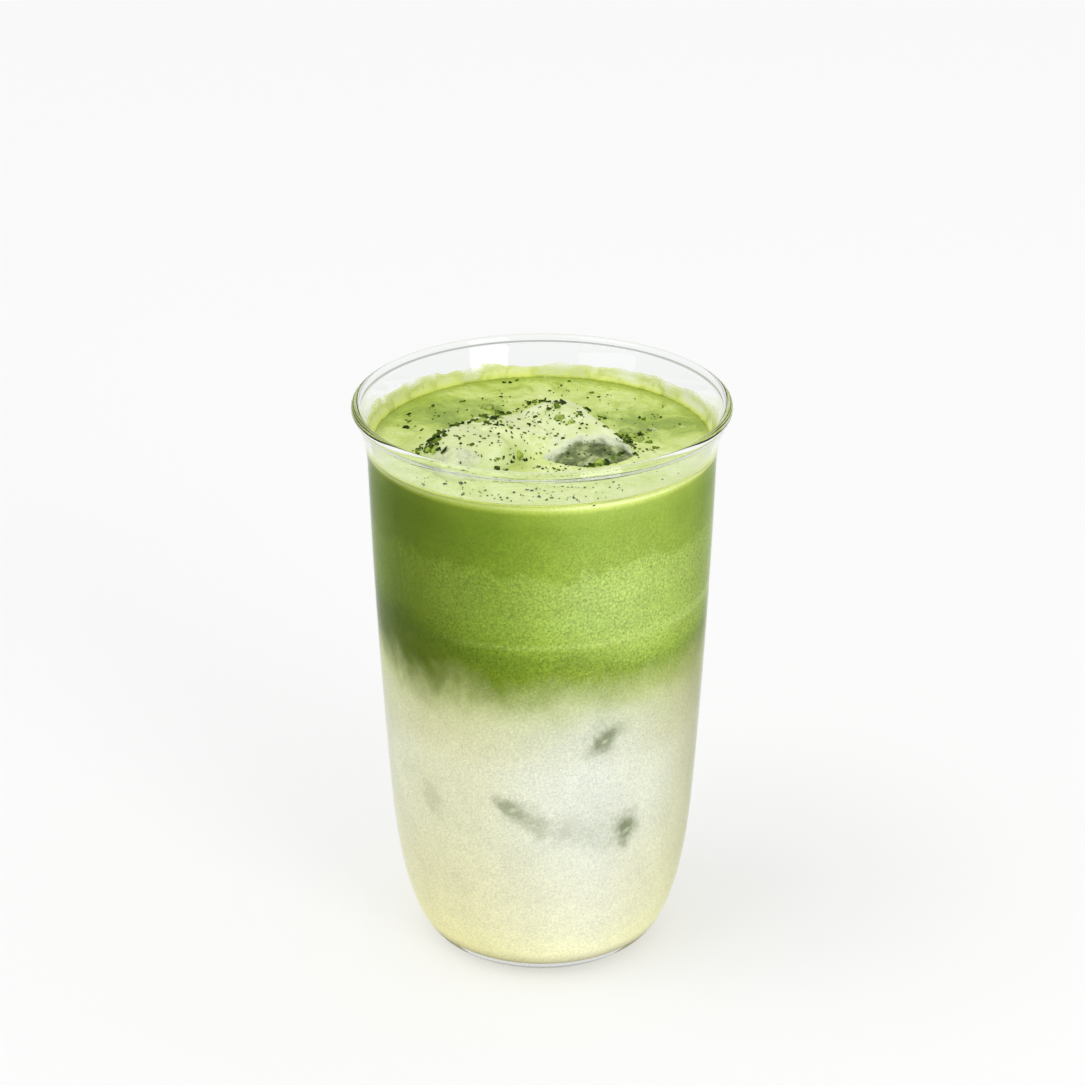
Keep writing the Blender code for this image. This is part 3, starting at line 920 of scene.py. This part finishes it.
@dataclass(frozen=True)
class LatteLook:
    """Colours of the milk and the matcha, seen through the wall and from above, in millimetres."""

    fog: tuple[float, float] = (111.5, 109.0)
    fog_wave: float = 14.0
    fog_gain: Triple = (1.25, 1.21, 1.7)
    tea_fade: tuple[float, float] = (71.0, 86.0)
    wisp_height: float = 15.0
    grain_height: float = 6.0
    drip_angle: float = 0.75
    drip_width: float = 0.21
    drip_depth: float = 0.8
    ring_height: float = 91.9
    ring_share: float = 0.32

    def milk_colour(self, sheet: Sheet, place: NodeSocket, patchy: NodeSocket, grain: NodeSocket) -> NodeSocket:
        """Colour of the milk, with dim marks of the ice that is sunk in it, painted highlights in some marks, and
        painted shade towards its sides and at its foot.

        Args:
            sheet: Where the nodes go.
            place: Coordinates in millimetres.
            patchy: Large soft noise about zero.
            grain: Fine noise about zero.

        Returns:
            The colour.
        """
        x, _, z = sheet.split(place)
        # painted shade towards the milk's sides
        milk = sheet.across(x, sheet.paint(z, *MILK_UPWARDS), MILK_LIGHT_AND_SHADE)
        uneven = sheet.times(sheet.swing(place, 0.3, 3.0, 0.6), 1.6)
        soft, fine = sheet.times(patchy, 1.2), sheet.times(grain, 4.0)
        milk = sheet.spotted(place, milk, WHITE_PATCHES, soft, (1.3, 0.15), tint(226, 227, 213))
        milk = sheet.spotted(place, milk, ICE_MARKS, uneven, (1.3, 0.2), tint(112, 121, 84))
        # painted highlights
        milk = sheet.spotted(place, milk, PAINTED_GLINTS, fine, (1.5, 0.5), tint(222, 227, 196))
        return sheet.varied(milk, patchy, 0.25)

    def tea_colour(self, sheet: Sheet, place: NodeSocket, patchy: NodeSocket, misty: NodeSocket) -> NodeSocket:
        """Colour of the matcha: painted shade to the left and painted light to the right, paler behind the mist, with
        a thin pale ring.

        Args:
            sheet: Where the nodes go.
            place: Coordinates in millimetres.
            patchy: Large soft noise about zero.
            misty: How misted the wall is.

        Returns:
            The colour.
        """
        x, _, z = sheet.split(place)
        lean = sheet.times(sheet.span(x, -30.0, -8.0, -3.5, 0.0), sheet.span(z, 116.0, 104.0))
        raised = sheet.times(sheet.span(x, 8.0, 24.0, 0.0, 4.0), sheet.span(z, 101.0, 94.0))
        level = sheet.plus(z, sheet.plus(lean, raised))
        # painted light and shade from left to right
        tea = sheet.across(x, sheet.paint(level, *TEA_UPWARDS), TEA_LIGHT_AND_SHADE)
        # lightens the painted shade at the left just below the surface
        contact = sheet.times(sheet.span(z, 125.2, 126.4), sheet.span(x, 4.0, -8.0, 0.0, 0.3))
        tea = sheet.blend(contact, tea, tint(190, 206, 104))
        tea = sheet.blend(misty, tea, sheet.vector("MULTIPLY", tea, self.fog_gain))
        tea = sheet.varied(tea, patchy, 0.35)
        off = sheet.maths("SUBTRACT", sheet.maths("SUBTRACT", z, sheet.times(x, 0.02)), self.ring_height)
        off = sheet.maths("SUBTRACT", sheet.maths("ABSOLUTE", off), sheet.span(x, 0.0, 24.0, 0.0, 0.6))
        ring = sheet.times(sheet.span(off, 1.1, 0.0), sheet.span(x, -30.0, 15.0))
        return sheet.blend(sheet.times(ring, self.ring_share), tea, tint(196, 214, 122))

    def tea_share(self, sheet: Sheet, place: NodeSocket, grain: NodeSocket) -> NodeSocket:
        """How much matcha shows at a height: a soft boundary with wisps and a drip at the left.

        Args:
            sheet: Where the nodes go.
            place: Coordinates in millimetres.
            grain: Fine noise about zero.

        Returns:
            The share, 1 in the matcha.
        """
        x, y, z = sheet.split(place)
        angle = sheet.maths("ARCTAN2", x, sheet.times(y, -1.0))
        offset = sheet.maths("DIVIDE", sheet.plus(angle, self.drip_angle), self.drip_width)
        drip = sheet.maths("EXPONENT", sheet.times(sheet.times(offset, offset), -1.0))
        streaky = sheet.vector("MULTIPLY", place, (1.0, 1.0, 0.75))
        wisps = sheet.times(sheet.swing(streaky, 0.1, 4.0, 0.6, 0.3), self.wisp_height)
        uneven = sheet.plus(wisps, sheet.times(grain, self.grain_height))
        high = sheet.plus(sheet.plus(z, sheet.times(drip, self.drip_depth)), uneven)
        return sheet.span(high, *self.tea_fade)

    def side_group(self) -> NodeTree:
        """Make the node group of the colours seen through the wall."""
        sheet, out = new_group("latte_side", {"Color": "NodeSocketColor"})
        place = sheet.place()
        _, _, z = sheet.split(place)
        patchy = sheet.swing(place, 0.09, 3.0, 0.55, 0.5)
        grain = sheet.swing(place, 1.8, 3.0, 0.8)
        edge = sheet.times(sheet.swing(place, 0.14, 4.0, 0.6), self.fog_wave)
        misty = sheet.span(sheet.plus(z, edge), *self.fog)
        share = self.tea_share(sheet, place, grain)
        milk = self.milk_colour(sheet, place, patchy, grain)
        tea = self.tea_colour(sheet, place, patchy, misty)
        coarse = sheet.times(share, sheet.span(z, 126.0, 110.0, 0.2, 0.65))
        rough = sheet.plus(sheet.times(misty, 0.3), coarse)
        speck = sheet.times(grain, sheet.plus(rough, 0.12))
        sheet.feed(out.inputs["Color"], sheet.varied(sheet.blend(share, milk, tea), speck, 2.2))
        return sheet.tree

    def top_group(self) -> NodeTree:
        """Make the node group of the foam's colours, with a painted shadow under the film's bead at the back, and
        fine relief.
        """
        sheet, out = new_group("foam_top", {"Color": "NodeSocketColor", "Relief": "NodeSocketFloat"})
        place = sheet.place()
        _, y, z = sheet.split(place)
        warp = sheet.add("ShaderNodeTexNoise", {"Vector": place, "Scale": 0.05, "Detail": 2.0}).outputs["Color"]
        push = sheet.vector("MULTIPLY", sheet.vector("SUBTRACT", warp, (0.5,) * 3), (34.0,) * 3)
        bent = sheet.vector("ADD", place, push)
        fine = sheet.swing(bent, 0.5, 3.0, 0.6)
        green = sheet.times(y, 0.009)
        for patch in GREEN_PATCHES:
            green = sheet.plus(green, sheet.span(sheet.blob(place, patch), 1.3, 0.3, 0.0, patch.strength))
        green = sheet.plus(green, sheet.times(sheet.swing(bent, 0.12, 4.0, 0.55), 2.6))
        colour = sheet.paint(sheet.plus(green, sheet.times(fine, 1.1)), *FOAM_GREENS)
        colour = sheet.varied(colour, sheet.swing(place, 1.3, 3.0, 0.75), 0.5)
        ragged = sheet.times(fine, 3.0)
        far = sheet.plus(sheet.from_axis(place), ragged)
        # painted shadow under the film's bead, round the back of the surface
        bead_shadow = sheet.times(sheet.span(far, 36.2, 38.6), sheet.span(y, -12.0, 10.0))
        colour = sheet.blend(sheet.times(bead_shadow, 0.7), colour, tint(150, 170, 60))
        pale = sheet.paint(fine, (-0.15, 222, 230, 176), (0.15, 200, 213, 140))
        colour = sheet.blend(sheet.span(sheet.plus(z, ragged), 128.0, 129.6), colour, pale)
        colour = sheet.spotted(place, colour, (VALLEY,), fine, (1.3, 0.4), tint(180, 197, 108))
        cells = sheet.add("ShaderNodeTexVoronoi", {"Vector": place, "Scale": 1.5}, feature="F1").outputs["Distance"]
        sheet.feed(out.inputs["Color"], colour)
        sheet.feed(out.inputs["Relief"], sheet.plus(sheet.times(cells, 0.5), sheet.noise(place, 0.8, 4.0, 0.6)))
        return sheet.tree

    def make_milk(self, side: NodeTree) -> Material:
        """Make the milk's material from the colours seen through the wall."""
        mat, sheet, shader = start_material("milk_side")
        walls = sheet.add("ShaderNodeGroup", node_tree=side)
        sheet.feed(shader.inputs["Base Color"], walls.outputs["Color"])
        shader.inputs["Roughness"].default_value = 0.5
        shader.inputs["Specular IOR Level"].default_value = 0.05
        return mat

    def make_matcha(self, side: NodeTree, top: NodeTree, rim: float, level: float) -> Material:
        """Make the matcha's material.

        Args:
            side: Colours seen through the wall.
            top: Colours seen from above.
            rim: Radius of the surface in millimetres.
            level: Height of the surface in millimetres.

        Returns:
            The material.
        """
        mat, sheet, shader = start_material("matcha_foam")
        walls = sheet.add("ShaderNodeGroup", node_tree=side)
        foam = sheet.add("ShaderNodeGroup", node_tree=top)
        place = sheet.place()
        _, _, z = sheet.split(place)
        inner = sheet.span(sheet.from_axis(place), rim - 0.35, rim - 0.8)
        share = sheet.times(inner, sheet.span(z, level - 1.4, level - 0.9))
        sheet.feed(shader.inputs["Base Color"], sheet.blend(share, walls.outputs["Color"], foam.outputs["Color"]))
        shader.inputs["Roughness"].default_value = 0.36
        shader.inputs["Specular IOR Level"].default_value = 0.05
        sheet.feed(shader.inputs["Coat Weight"], sheet.times(share, 0.5))
        shader.inputs["Coat Roughness"].default_value = 0.3
        sheet.feed(shader.inputs["Normal"], sheet.bump(foam.outputs["Relief"], 0.35, 0.25))
        return mat


@dataclass(frozen=True)
class FoamyIceLook:
    """Foam on the ice, with bare wet ice at the right and frost at the left."""

    bare: Mark = Mark((12.0, -15.0, 127.6), (12.5, 8.0, 6.4), (0.0, 0.0, 0.2))
    frost: Mark = Mark((-19.0, -19.5, 130.5), (6.5, 3.5, 2.4), (0.0, 0.0, -0.3))

    def make(self) -> Material:
        """Make the material."""
        mat, sheet, shader = start_material("foamy_ice")
        place = sheet.place()
        x, _, z = sheet.split(place)
        fine = sheet.swing(place, 0.7, 4.0, 0.65)
        tone = sheet.plus(sheet.times(sheet.swing(place, 0.16, 3.0, 0.6), 2.2), sheet.times(fine, 0.8))
        foam = sheet.paint(tone, (-0.5, 226, 231, 190), (0.0, 214, 225, 168), (0.5, 196, 210, 132))
        foam = sheet.blend(sheet.times(sheet.span(z, 130.0, 127.6), 0.35), foam, tint(188, 204, 118))
        foam = sheet.blend(sheet.span(x, -5.0, -16.0, 0.0, 0.45), foam, tint(188, 200, 130))
        foam = sheet.blend(sheet.span(x, 8.0, 20.0, 0.0, 0.6), foam, tint(232, 240, 186))
        bend = sheet.times(sheet.swing(place, 0.3, 3.0, 0.6), 0.9)
        right = sheet.plus(sheet.blob(place, self.bare), bend)
        left = sheet.plus(sheet.blob(place, self.frost), bend)
        colour = sheet.blend(sheet.times(sheet.span(right, 1.12, 0.92), 0.85), foam, tint(206, 213, 186))
        streak = sheet.noise(sheet.vector("MULTIPLY", place, (1.0, 1.0, 2.2)), 0.33, 3.0, 0.6)
        ice = sheet.paint(streak, (0.36, 62, 78, 26), (0.5, 106, 120, 62), (0.66, 168, 178, 126))
        bare, frost = sheet.span(right, 0.98, 0.6), sheet.span(left, 1.15, 0.5)
        cold = sheet.paint(fine, (-0.1, 168, 176, 140), (0.1, 208, 214, 184))
        colour = sheet.blend(sheet.times(frost, 0.85), sheet.blend(bare, colour, ice), cold)
        sheet.feed(shader.inputs["Base Color"], colour)
        wet = sheet.maths("MAXIMUM", bare, sheet.times(frost, 0.5))
        sheet.feed(shader.inputs["Roughness"], sheet.span(wet, 0.0, 1.0, 0.42, 0.12))
        sheet.feed(shader.inputs["Normal"], sheet.bump(fine, 0.4, 0.3))
        return mat


@dataclass(frozen=True)
class FilmLook:
    """Thin yellow-green foam film with ragged see-through places."""

    pale: Triple = tint(240, 243, 220)

    def make(self) -> Material:
        """Make the material."""
        mat, sheet, shader = start_material("thin_film")
        place = sheet.place()
        x, y, z = sheet.split(place)
        ragged = sheet.noise(place, 0.13, 3.0, 0.5, 0.3)
        thin = sheet.times(sheet.span(z, 128.2, 132.0), 0.62)
        alpha = sheet.maths("SUBTRACT", sheet.span(ragged, 0.36, 0.56, 0.52, 1.1), thin, True)
        high = sheet.plus(z, sheet.times(sheet.swing(place, 0.5, 3.0, 0.6), 2.4))
        colour = sheet.paint(high, (126.8, 160, 180, 58), (127.7, 208, 220, 100), (129.0, 216, 226, 116),
                             (131.5, 226, 232, 136))
        wisps = sheet.times(sheet.span(ragged, 0.42, 0.62), sheet.span(z, 127.6, 129.0))
        behind = sheet.times(sheet.span(x, -10.0, 25.0, 0.35, 0.9), sheet.span(y, -18.0, -4.0))
        sheet.feed(shader.inputs["Base Color"], sheet.blend(sheet.times(wisps, behind), colour, self.pale))
        sheet.feed(shader.inputs["Alpha"], alpha)
        shader.inputs["Roughness"].default_value = 0.35
        return mat


@dataclass(frozen=True)
class SpeckLook:
    """Matcha in small pieces, between a dark and a light tone."""

    name: str
    dark: Triple
    light: Triple
    grain: tuple[float, ...]
    reach: tuple[float, float]
    rough: float
    specular: float = 0.5

    def make(self) -> Material:
        """Make the material."""
        mat, sheet, shader = start_material(self.name)
        tone = sheet.span(sheet.noise(sheet.place(), *self.grain), *self.reach)
        sheet.feed(shader.inputs["Base Color"], sheet.blend(tone, self.dark, self.light))
        shader.inputs["Roughness"].default_value = self.rough
        shader.inputs["Specular IOR Level"].default_value = self.specular
        return mat


LEAF = SpeckLook("leaf_crumb", tint(32, 50, 4), tint(104, 130, 32), (0.45, 1.0), (0.4, 0.66), 0.6, 0.08)
WET = SpeckLook("wet_matcha", tint(110, 134, 28), tint(158, 180, 62), (0.7, 3.0, 0.6), (0.35, 0.6), 0.3)


@dataclass(frozen=True)
class BubbleLook:
    """Thin bubble skin that shows most at its rim."""

    colour: Triple = tint(236, 243, 192)

    def make(self) -> Material:
        """Make the material."""
        mat, sheet, shader = start_material("bubble_skin")
        facing = sheet.add("ShaderNodeLayerWeight", {"Blend": 0.35}).outputs["Facing"]
        sheet.feed(shader.inputs["Alpha"], sheet.span(facing, 0.2, 0.7, 0.1, 0.85))
        sheet.feed(shader.inputs["Base Color"], self.colour)
        shader.inputs["Roughness"].default_value = 0.08
        return mat


@dataclass
class Studio:
    """Plain pale floor, soft light and the camera at the photograph's angle."""

    eye: Triple = (0.0, -0.80421, 0.45834)
    down: float = 23.953
    lens: float = 124.71
    sensor: float = 36.0
    picture: float = 1085.0
    floor_radius: float = 6.0
    floor_tone: float = 0.5
    floor_glow: float = 0.41
    sky: tuple[tuple[float, float], ...] = ((-0.2, 0.75), (0.0, 0.45), (0.25, 0.6), (0.6, 0.95), (1.0, 1.0))
    sky_strength: float = 0.98

    def tilt(self) -> Euler:
        """Turn of the camera."""
        return Euler((math.radians(90.0 - self.down), 0.0, 0.0), "XYZ")

    def place_camera(self) -> None:
        """Add the camera."""
        data = bpy.data.cameras.new("camera")
        data.lens, data.sensor_width = self.lens, self.sensor
        data.shift_x = 0.5 / self.picture
        data.clip_start, data.clip_end = 0.01, 20.0
        camera = bpy.data.objects.new("camera", data)
        camera.location, camera.rotation_euler = self.eye, self.tilt()
        bpy.context.scene.collection.objects.link(camera)
        bpy.context.scene.camera = camera

    def lay_floor(self) -> None:
        """Add the floor, which glows a little so that the drink's colour doesn't spread on it."""
        bm = bmesh.new()
        bmesh.ops.create_circle(bm, cap_ends=True, segments=96, radius=self.floor_radius)
        floor = finish_object("floor", bm)
        mat, _, shader = start_material("floor_paint")
        shader.inputs["Base Color"].default_value = (self.floor_tone,) * 3 + (1.0,)
        shader.inputs["Emission Color"].default_value = (1.0, 1.0, 1.0, 1.0)
        shader.inputs["Emission Strength"].default_value = self.floor_glow
        shader.inputs["Roughness"].default_value = 0.9
        shader.inputs["Specular IOR Level"].default_value = 0.1
        floor.data.materials.append(mat)

    def add_area(self, name: str, place: Triple, target: Triple, size: tuple[float, float], power: float,
                 mirrored: bool = True) -> None:
        """Add a soft rectangular light.

        Args:
            name: The light's name.
            place: Where it stands, in metres.
            target: What it points at.
            size: Width and height in metres.
            power: Power in watts.
            mirrored: Whether it shows in the glass.
        """
        data = bpy.data.lights.new(name, "AREA")
        data.shape, data.size, data.size_y, data.energy = "RECTANGLE", size[0], size[1], power
        light = bpy.data.objects.new(name, data)
        light.visible_glossy = mirrored
        light.location = place
        light.rotation_euler = (Vector(target) - Vector(place)).to_track_quat("-Z", "Y").to_euler()
        bpy.context.scene.collection.objects.link(light)

    def add_light(self) -> None:
        """Add the lights and the soft surroundings."""
        sun = bpy.data.lights.new("window", "SUN")
        sun.energy, sun.angle = 0.55, math.radians(38.0)
        lamp = bpy.data.objects.new("window", sun)
        lamp.rotation_euler = Vector((0.45, 0.16, -0.9)).to_track_quat("-Z", "Y").to_euler()
        bpy.context.scene.collection.objects.link(lamp)
        self.add_area("softbox_front", (0.68, -0.97, 0.42), (0.0, 0.0, 0.13), (0.52, 0.72), 4.6)
        self.add_area("fill_left", (-0.8, -0.85, 0.3), (0.0, 0.0, 0.06), (0.8, 0.5), 1.6, False)
        world = bpy.data.worlds.new("surroundings")
        bpy.context.scene.world = world
        world.use_nodes = True
        sheet = Sheet(world.node_tree)
        shader = world.node_tree.nodes["Background"]
        _, _, up = sheet.split(sheet.add("ShaderNodeTexCoord").outputs["Generated"])
        sheet.feed(shader.inputs["Color"], sheet.ramp(up, *((height, *(tone,) * 3) for height, tone in self.sky)))
        shader.inputs["Strength"].default_value = self.sky_strength

    def build(self) -> None:
        """Add everything round the glass."""
        self.place_camera()
        self.lay_floor()
        self.add_light()
        bpy.context.scene.view_settings.view_transform = "Standard"


def ground_of(pieces: list[Object]) -> BVHTree:
    """Join the pieces' faces into one tree for rays."""
    verts: list[Vector] = []
    faces: list[tuple[int, ...]] = []
    for piece in pieces:
        start = len(verts)
        verts += [v.co.copy() for v in piece.data.vertices]
        faces += [tuple(start + i for i in p.vertices) for p in piece.data.polygons]
    return BVHTree.FromPolygons(verts, faces)


def main() -> None:
    """Build the glass, its contents and the studio."""
    logging.basicConfig(level=logging.INFO, format="%(name)s: %(message)s")
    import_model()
    studio = Studio()
    studio.build()
    glass = Tumbler()
    blocks = [IceBlock("ice_coat_right", "ice_right", (6.4, -2.1, 117.8), (36.4, 24.0, 28.3), (12.9, 8.2, -54.2)),
              IceBlock("ice_coat_left", "ice_left", (-16.9, -11.8, 120.3), (20.4, 18.6, 26.9), (6.9, -5.6, 33.0))]
    drink = Drink(glass, blocks)
    look = LatteLook()
    side, top = look.side_group(), look.top_group()
    tumbler = settle(glass.build(), Slot.GLASS, ClearGlass().make(), "glass")
    tumbler.data.materials.append(ClearGlass("misted_glass", ior=1.08).make())
    for polygon in tumbler.data.polygons:
        polygon.material_index = int(polygon.center.z < drink.level * MM)
    settle(drink.build_milk(), Slot.MILK, look.make_milk(side), "milk")
    rim = glass.fill(drink.level + drink.meniscus)
    matcha = settle(drink.build_matcha(), Slot.MATCHA, look.make_matcha(side, top, rim, drink.level), "matcha")
    coat = FoamyIceLook().make()
    coats = [settle(block.build(), Slot.ICE, coat, block.node) for block in blocks]
    settle(WallFilm(glass).build(), Slot.MATCHA, FilmLook().make())
    focal = studio.lens / studio.sensor * studio.picture
    ground = ground_of([matcha, *coats])
    crumbs = Crumbs(studio.eye, studio.tilt().to_matrix(), focal, studio.picture / 2.0, ground)
    settle(crumbs.build_flakes(), Slot.MATCHA, LEAF.make())
    settle(crumbs.build_clumps(), Slot.MATCHA, WET.make())
    settle(crumbs.build_bubbles(), Slot.MATCHA, BubbleLook().make())


if __name__ == "__main__":
    main()
